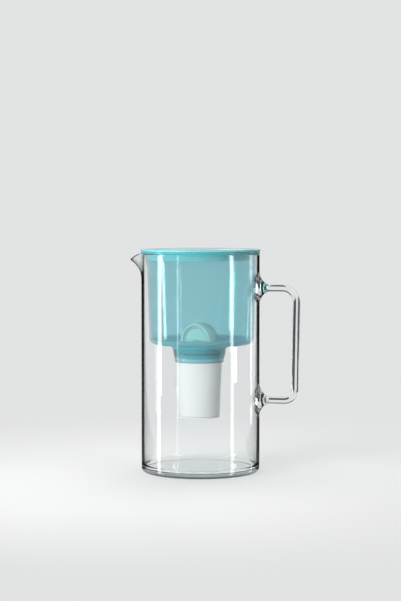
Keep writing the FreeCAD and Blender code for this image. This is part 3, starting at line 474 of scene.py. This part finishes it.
def makeVessel():
    outer, inner = jug["radius"], jug["radius"] - jug["wall"]
    top, floorTop = jug["height"], jug["floor"]
    band = top - jug["spoutRise"]
    bm = bmesh.new()
    _, wallOut, lipOut, _, lipIn, wallIn, _ = profileWire(bm, [
        (0, 0), (outer, 0), (outer, band), (outer, top), (inner, top), (inner, band), (inner, floorTop),
        (0, floorTop)])
    bmesh.ops.subdivide_edges(bm, edges=[lipOut, lipIn], cuts=jug["spoutRows"])
    bmesh.ops.subdivide_edges(bm, edges=[wallOut, wallIn], cuts=jug["wallRows"])
    turn(bm, jug["steps"])
    roundRing(bm, outer, 0, jug["foot"], jug["footSteps"])
    roundRing(bm, inner, floorTop, jug["hollow"], jug["footSteps"])
    for radius in (outer, inner):
        roundRing(bm, radius, top, jug["rim"], jug["rimSteps"])
    pullSpout(bm)
    return bm


def weldStations():
    # the trumpet's distances from the jug's wall and its radii there, with a small bead
    h = handle
    stations = [(-h["weldSunk"], h["weldRadius"]), (0.0, h["weldRadius"])]
    for number in range(1, h["weldSteps"] + 1):
        far = h["weldLength"] * number / h["weldSteps"]
        share = (1 - number / h["weldSteps"]) ** h["weldPower"]
        bead = h["bead"] * math.exp(-((far - h["beadAt"]) / h["beadWidth"]) ** 2)
        stations.append((far, h["armRadius"] + (h["weldRadius"] - h["armRadius"]) * share + bead))
    stations.append((h["weldLength"] + h["armStart"], h["armRadius"]))
    return stations


def armRings(stations, z, facing):
    return [(Vector((jug["radius"] + far, 0, z)), facing, radius) for far, radius in stations]


def bendRings(x, z, size, start, end, radii):
    rings = []
    for number in range(handle["bendSteps"] + 1):
        share = number / handle["bendSteps"]
        bend = start + (end - start) * share
        spot = Vector((x + size * math.sin(bend), 0, z + size * math.cos(bend)))
        rings.append((spot, bend, radii[0] + (radii[1] - radii[0]) * share))
    return rings


def handleRings():
    # rings along the bent rod: trumpet, arm, bend, bar, bend, arm, trumpet; each a spot, a turn and a radius
    h = handle
    lean = math.radians(h["lean"])
    upright = math.pi / 2 + lean
    weld = weldStations()
    rings = armRings(weld, h["top"], 0.0)
    rings += bendRings(jug["radius"] + h["reach"] - h["topBend"], h["top"] - h["topBend"], h["topBend"],
                       0.0, upright, (h["armRadius"], h["barRadius"]))
    barTop = rings[-1][0]
    lowZ = h["bottom"] + h["lowBend"] * (1 - math.sin(lean))
    barLow = Vector((barTop.x - (barTop.z - lowZ) * math.tan(lean), 0, lowZ))
    for number in range(1, h["barSteps"]):
        rings.append((barTop.lerp(barLow, number / h["barSteps"]), upright, h["barRadius"]))
    rings += bendRings(barLow.x - h["lowBend"] * math.cos(lean), h["bottom"] + h["lowBend"], h["lowBend"],
                       upright, math.pi, (h["barRadius"], h["armRadius"]))
    rings += armRings(reversed(weld), h["bottom"], math.pi)
    return rings


def makeHandle():
    def ringPlace(ring):
        spot, bend, radius = ring
        facing = Matrix.Rotation(math.pi / 2 + bend, 4, "Y")
        return Matrix.Translation(spot * mm) @ facing @ Matrix.Scale(radius * mm, 4)

    bm = bmesh.new()
    rings = handleRings()
    bmesh.ops.create_circle(bm, segments=handle["sides"], radius=1.0, matrix=ringPlace(rings[0]))
    first = loop = bm.edges[:]
    for before, after in zip(rings, rings[1:]):
        grown = bmesh.ops.extrude_edge_only(bm, edges=loop)["geom"]
        verts = [g for g in grown if isinstance(g, bmesh.types.BMVert)]
        loop = [g for g in grown if isinstance(g, bmesh.types.BMEdge) and all(v in verts for v in g.verts)]
        bmesh.ops.transform(bm, matrix=ringPlace(after) @ ringPlace(before).inverted(), verts=verts)
    for ends in (first, loop):
        bmesh.ops.edgenet_fill(bm, edges=ends)
    bmesh.ops.recalc_face_normals(bm, faces=bm.faces)
    return bm


def joinSolids(first, second):
    # one solid from two that overlap
    parts = []
    for bm in (first, second):
        part = bpy.data.objects.new("part", meshFrom(bm, "part"))
        scene.collection.objects.link(part)
        parts.append(part)
    union = parts[0].modifiers.new("union", "BOOLEAN")
    union.operation = "UNION"
    union.solver = "EXACT"
    union.object = parts[1]
    bpy.context.view_layer.update()
    joined = parts[0].evaluated_get(bpy.context.evaluated_depsgraph_get())
    mesh = bpy.data.meshes.new_from_object(joined)
    for part in parts:
        bpy.data.objects.remove(part)
    return mesh


jugPiece = finishPiece(joinSolids(makeVessel(), makeHandle()), "jugGlass", "jug", finishes["clearGlass"],
                       jug["crease"])
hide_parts("glass_jug", "glass_handle")
print("jug:", len(jugPiece.data.polygons), "faces")

# hopper: a tapered cup off the jug's axis that flares to the mouth and ends below in the cartridge's socket
hopper = {"axis": 1.35, "under": 140.7, "floor": 2.5, "lowRadius": 57.05, "highRadius": 60.0, "wall": 1.8,
          "innerSpread": 0.08, "corner": 7.0, "outerSteps": 8, "innerSteps": 6, "flareLow": 221.5,
          "flareHigh": 237.5, "mouth": 61.5, "rim": 240.5, "flange": 65.2, "flangeThick": 2.4,
          "flangeRound": 0.6, "lipRound": 0.5, "flareRows": 9, "floorRows": 3, "wallRows": 4,
          "steps": 160, "edgeSteps": 3, "crease": 32}
socket = {"axis": -1.2, "shiftFrom": 33, "shiftTo": 48, "shiftRise": 6, "top": 29.8, "slope": 0.14,
          "bead": 1.2, "beadDrop": 4.6, "beadRound": 0.28, "shoulderRound": 0.8,
          "step": 126.4, "stepRound": 0.2, "end": 121.3, "ring": 27.1, "ringLow": 27.0, "ringRound": 0.4,
          "bore": 25.55, "boreRound": 0.3, "seat": 131.5, "seatRadius": 26.73, "mouth": 28.98,
          "mouthRound": 0.4, "rib": 0.4, "ribHalf": 0.55, "ribTopHalf": 0.3, "ribDrops": (11.4, 9.2, 7.0)}


def shareBetween(value, low, high):
    return min(max((value - low) / (high - low), 0), 1)


def ease(share):
    return share * share * (3 - 2 * share)


def offAxis(v):
    # the socket, the cup and the mouth each stand on an axis of their own
    z, r = v.co.z / mm, v.co.xy.length / mm
    if z < hopper["under"] + socket["shiftRise"] and r < socket["shiftTo"]:
        share = shareBetween(r, socket["shiftFrom"], socket["shiftTo"])
        return socket["axis"] + (hopper["axis"] - socket["axis"]) * share
    return hopper["axis"] * (1 - ease(shareBetween(z, hopper["flareLow"], hopper["flareHigh"])))


def swellFlare(v):
    # turns the straight run of the flare into an S
    rise = shareBetween(v.co.z / mm, hopper["flareLow"], hopper["flareHigh"])
    more = (hopper["mouth"] - hopper["highRadius"]) * (ease(rise) - rise) * mm
    v.co.xy = v.co.xy * (1 + more / v.co.xy.length)


def makeHopper():
    h, s = hopper, socket
    floorTop, flangeTop = h["under"] + h["floor"], h["rim"] + h["flangeThick"]
    beadZ, shoulder = h["under"] - s["beadDrop"], s["top"] + s["bead"]
    innerLow = h["lowRadius"] - h["wall"] + h["innerSpread"]
    innerHigh, innerMouth = h["highRadius"] - h["wall"], h["mouth"] - h["wall"]

    def cone(z):
        return s["top"] - (h["under"] - z) * s["slope"]

    collar = [(s["bore"], s["end"]), (s["ringLow"], s["end"]), (s["ring"], s["step"]),
              (cone(s["step"]), s["step"])]
    for drop in s["ribDrops"]:
        z = h["under"] - drop
        low, high = z - s["ribHalf"], z + s["ribHalf"]
        proud = cone(z) + s["rib"]
        collar += [(cone(low), low), (proud, z - s["ribTopHalf"]), (proud, z + s["ribTopHalf"]),
                   (cone(high), high)]
    collar += [(cone(beadZ), beadZ), (cone(beadZ) + s["bead"], beadZ)]
    cup = [(shoulder, h["under"]), (h["lowRadius"], h["under"]), (h["highRadius"], h["flareLow"]),
           (h["mouth"], h["flareHigh"]), (h["mouth"], h["rim"]), (h["flange"], h["rim"]),
           (h["flange"], flangeTop), (innerMouth, flangeTop), (innerMouth, h["flareHigh"]),
           (innerHigh, h["flareLow"]), (innerLow, floorTop), (s["mouth"], floorTop),
           (s["seatRadius"], s["seat"]), (s["bore"], s["seat"])]
    bm = bmesh.new()
    edges = profileWire(bm, collar + cup, closed=True)[len(collar):]
    floorOut, wallOut, flareOut = edges[:3]
    flareIn, wallIn, floorIn = edges[8:11]
    bmesh.ops.subdivide_edges(bm, edges=[flareOut, flareIn], cuts=h["flareRows"])
    bmesh.ops.subdivide_edges(bm, edges=[floorOut, floorIn], cuts=h["floorRows"])
    bmesh.ops.subdivide_edges(bm, edges=[wallOut, wallIn], cuts=h["wallRows"])
    turn(bm, h["steps"])
    roundRing(bm, h["lowRadius"], h["under"], h["corner"], h["outerSteps"])
    roundRing(bm, innerLow, floorTop, h["corner"] - h["wall"], h["innerSteps"])
    for radius, z, size in ((h["flange"], h["rim"], h["flangeRound"]),
                            (h["flange"], flangeTop, h["flangeRound"]),
                            (innerMouth, flangeTop, h["lipRound"]),
                            (h["mouth"], h["rim"], h["flangeRound"]),
                            (s["ringLow"], s["end"], s["ringRound"]),
                            (s["bore"], s["end"], s["boreRound"]),
                            (cone(s["step"]), s["step"], s["stepRound"]),
                            (cone(beadZ) + s["bead"], beadZ, s["beadRound"]),
                            (shoulder, h["under"], s["shoulderRound"]),
                            (s["mouth"], floorTop, s["mouthRound"])):
        roundRing(bm, radius, z, size, h["edgeSteps"])
    for v in bm.verts:
        swellFlare(v)
        v.co.x += offAxis(v) * mm
    return bm


hopperPiece = finishPiece(meshFrom(makeHopper(), "hopperShell"), "hopperShell", "hopper",
                          finishes["tealClear"], hopper["crease"])
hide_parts("funnel")
print("hopper:", len(hopperPiece.data.polygons), "faces")

# camera at the photo's angle: a long lens a little above the lid
view = {"azimuth": 14.0, "distance": 2.007, "eye": 0.2955, "aim": (0.0, 0.0, 0.1885), "lens": 109.6,
        "sensor": 36.0}
camera = bpy.data.objects.new("camera", bpy.data.cameras.new("camera"))
scene.collection.objects.link(camera)
turnCam = math.radians(view["azimuth"])
toCamera = Vector((math.sin(turnCam), -math.cos(turnCam), 0))
camera.location = toCamera * view["distance"] + Vector((0, 0, view["eye"]))
camera.rotation_euler = (Vector(view["aim"]) - camera.location).to_track_quat("-Z", "Y").to_euler()
camera.data.sensor_fit = "VERTICAL"
camera.data.sensor_height = view["sensor"]
camera.data.lens = view["lens"]
scene.camera = camera

# floor that runs into the pale wall a little way off
wall = {"fill": 0.25, "pale": (0.76, 0.765, 0.77), "near": 0.09, "far": 0.6}
floorLook = {"pale": (0.86, 0.86, 0.86), "deep": (0.83, 0.832, 0.835), "size": 14.0, "drop": 0.0002,
             "cloudScale": 5.0, "cloudDetail": 5.0, "rough": 0.6}


def makeFloorFinish():
    look = floorLook
    mat, tree, shader = newTree("paleFloor")
    cloud = noise(tree, objectCoords(tree), look["cloudScale"], look["cloudDetail"])
    colour = blendColours(tree, spread(tree, cloud, 0, 1), look["pale"], look["deep"])
    setInputs(tree, shader, Base_Color=colour, Roughness=look["rough"], Specular_IOR_Level=0.0)
    reach = addNode(tree, "ShaderNodeVectorMath", operation="LENGTH", Vector=objectCoords(tree))
    fade = addNode(tree, "ShaderNodeMapRange", interpolation_type="SMOOTHSTEP",
                   Value=reach.outputs["Value"], From_Min=wall["near"], From_Max=wall["far"])
    haze = addNode(tree, "ShaderNodeEmission", Color=wall["pale"], Strength=1.0)
    share = calc(tree, "MULTIPLY", fade.outputs["Result"], seenRays(tree))
    mixShaders(tree, tree.nodes["Material Output"], share, shader, haze)
    return mat


bpy.ops.mesh.primitive_plane_add(size=floorLook["size"], location=(0, 0, -floorLook["drop"]))
floor = bpy.context.object
floor.name = "floor"
floor.visible_glossy = False
floor.data.materials.append(makeFloorFinish())

# soft boxes that light it, strips that only draw lines in the glass, and short ones for the hopper's lines
boxes = {
    "keySoft": {"angle": -40, "far": 1.3, "z": 0.5, "size": (0.8, 0.8), "level": 9.4, "draws": ""},
    "fillSoft": {"angle": 60, "far": 1.5, "z": 0.6, "size": (0.8, 0.8), "level": 0.6, "draws": ""},
    "topSoft": {"angle": 180, "far": 0.2, "z": 1.7, "size": (1.6, 1.6), "level": 2.0, "draws": ""},
    "backSoft": {"angle": 160, "far": 1.4, "z": 0.8, "size": (0.8, 0.8), "level": 3.2, "draws": ""},
    "leftStrip": {"angle": -83, "far": 0.5, "z": 0.35, "size": (0.078, 1.3), "level": 7.0,
                  "draws": "outside"},
    "leftInner": {"angle": -82, "far": 0.5, "z": 0.53, "size": (0.066, 0.98), "level": 12.0,
                  "draws": "inside"},
    "rightStrip": {"angle": 60, "far": 0.5, "z": 0.35, "size": (0.06, 1.3), "level": 7.0,
                   "draws": "outside"},
    "rightInner": {"angle": 60, "far": 0.5, "z": 0.55, "size": (0.06, 0.9), "level": 7.0,
                   "draws": "inside"},
    "thinLeft": {"angle": -43, "far": 0.6, "z": 0.35, "size": (0.03, 1.3), "level": 3.0,
                 "draws": "outside inside"},
    "thinRight": {"angle": 112, "far": 0.5, "z": 0.35, "size": (0.024, 1.3), "level": 4.0,
                  "draws": "outside inside"},
}
boxAim = Vector((0, 0, 0.15))
once = 0.5  # a ray depth above this has happened at least once


def besideCamera(angle, far, z):
    # a spot by its angle round the jug from the camera's side
    return (Matrix.Rotation(math.radians(angle), 3, "Z") @ toCamera) * far + Vector((0, 0, z))


def showMirrored(lamp):
    # the strip shows in a reflection, and not straight through the glass
    lamp.use_nodes = True
    tree = lamp.node_tree
    depth = addNode(tree, "ShaderNodeLightPath").outputs["Glossy Depth"]
    setInputs(tree, tree.nodes["Emission"], Strength=calc(tree, "GREATER_THAN", depth, once))


for name, box in boxes.items():
    lamp = bpy.data.lights.new(name, "AREA")
    lamp.shape = "RECTANGLE"
    lamp.size, lamp.size_y = box["size"]
    lamp.energy = box["level"] * math.pi * lamp.size * lamp.size_y
    if "inside" in box["draws"]:
        showMirrored(lamp)
    lampObject = bpy.data.objects.new(name, lamp)
    scene.collection.objects.link(lampObject)
    lampObject.location = besideCamera(box["angle"], box["far"], box["z"])
    lampObject.visible_camera = False
    lampObject.visible_diffuse = not box["draws"]
    lampObject.visible_glossy = "outside" in box["draws"]
    lampObject.visible_transmission = "inside" in box["draws"]
    aim = boxAim - lampObject.location
    if box["draws"]:
        aim.z = 0  # strips stand upright
    lampObject.rotation_euler = aim.to_track_quat("-Z", "Y").to_euler()

# dark cards for rays that have met one wall or the rod: they draw the glass edges, and two walls hide them
cards = {"shade": (0.03, 0.03, 0.033), "deep": (0.045, 0.045, 0.048), "cloudScale": 8.0, "rough": 0.9,
         "mostFaces": 3.5, "floorStart": (0.069, 0.32), "floorAngles": (8.0, 36.0), "floorFar": 14.0,
         "wallNear": 0.0, "wallLift": 0.0004, "rodNear": 0.75, "rodLift": 0.0002,
         "armAside": (0.066, 0.15), "armFar": (0.12, 0.5), "armLift": 0.0006,
         "overFar": 1.3, "overHeights": (0.7, 1.75), "overHalf": 1.6}


def makeShade(name, mirrored):
    # card black; a mirrored one shows only to rays that the wall has turned back
    mat, tree, shader = newTree(name)
    cloud = noise(tree, objectCoords(tree), cards["cloudScale"])
    colour = blendColours(tree, cloud, cards["shade"], cards["deep"])
    setInputs(tree, shader, Base_Color=colour, Roughness=cards["rough"], Specular_IOR_Level=0.0)
    path = addNode(tree, "ShaderNodeLightPath").outputs
    share = calc(tree, "LESS_THAN", path["Transmission Depth"], cards["mostFaces"])
    if mirrored:
        share = calc(tree, "MULTIPLY", share, calc(tree, "GREATER_THAN", path["Glossy Depth"], once))
    hidden = addNode(tree, "ShaderNodeBsdfTransparent")
    mixShaders(tree, tree.nodes["Material Output"], share, hidden, shader)
    return mat


def behind(aside, far, z):
    # a spot by its distances beside and behind the jug, as the camera sees it
    return Vector((-toCamera.y, toCamera.x, 0)) * aside - toCamera * far + Vector((0, 0, z))


def makeCard(name, mat, corners):
    bm = bmesh.new()
    bm.faces.new([bm.verts.new(behind(*corner)) for corner in corners])
    card = bpy.data.objects.new(name, meshFrom(bm, name))
    card.data.materials.append(mat)
    scene.collection.objects.link(card)
    card.visible_camera = card.visible_diffuse = card.visible_shadow = False


def widening(side, near, z):
    # corners of a card on the floor that runs back from beside the jug
    def edge(number, far):
        slope = math.tan(math.radians(cards["floorAngles"][number]))
        return side * (cards["floorStart"][number] + slope * far), far, z

    return [edge(0, near), edge(0, cards["floorFar"]), edge(1, cards["floorFar"]), edge(1, near)]


edgeShade = makeShade("cardBlack", False)
wallShade = makeShade("cardBlackMirrored", True)
for side in (-1, 1):
    makeCard("wallCard%d" % side, wallShade, widening(side, cards["wallNear"], cards["wallLift"]))
    makeCard("rodCard%d" % side, edgeShade, widening(side, cards["rodNear"], cards["rodLift"]))
armIn, armOut = cards["armAside"]
armNear, armBack = cards["armFar"]
makeCard("armCard", edgeShade, [(armIn, armNear, cards["armLift"]), (armOut, armNear, cards["armLift"]),
                                (armOut, armBack, cards["armLift"]), (armIn, armBack, cards["armLift"])])
overLow, overHigh = cards["overHeights"]
half, overFar = cards["overHalf"], cards["overFar"]
makeCard("overCard", edgeShade, [(-half, overFar, overLow), (half, overFar, overLow),
                                 (half, overFar, overHigh), (-half, overFar, overHigh)])

# surroundings: soft grey fill, and the pale wall that camera, mirror and glass rays meet
world = bpy.data.worlds.new("studio")
scene.world = world
world.use_nodes = True
tree = world.node_tree
tree.nodes.clear()
fill = addNode(tree, "ShaderNodeBackground", Strength=wall["fill"])
pale = addNode(tree, "ShaderNodeBackground", Color=wall["pale"], Strength=1.0)
mixShaders(tree, addNode(tree, "ShaderNodeOutputWorld"), seenRays(tree), fill, pale)
scene.view_settings.view_transform = "Standard"
print("studio set")
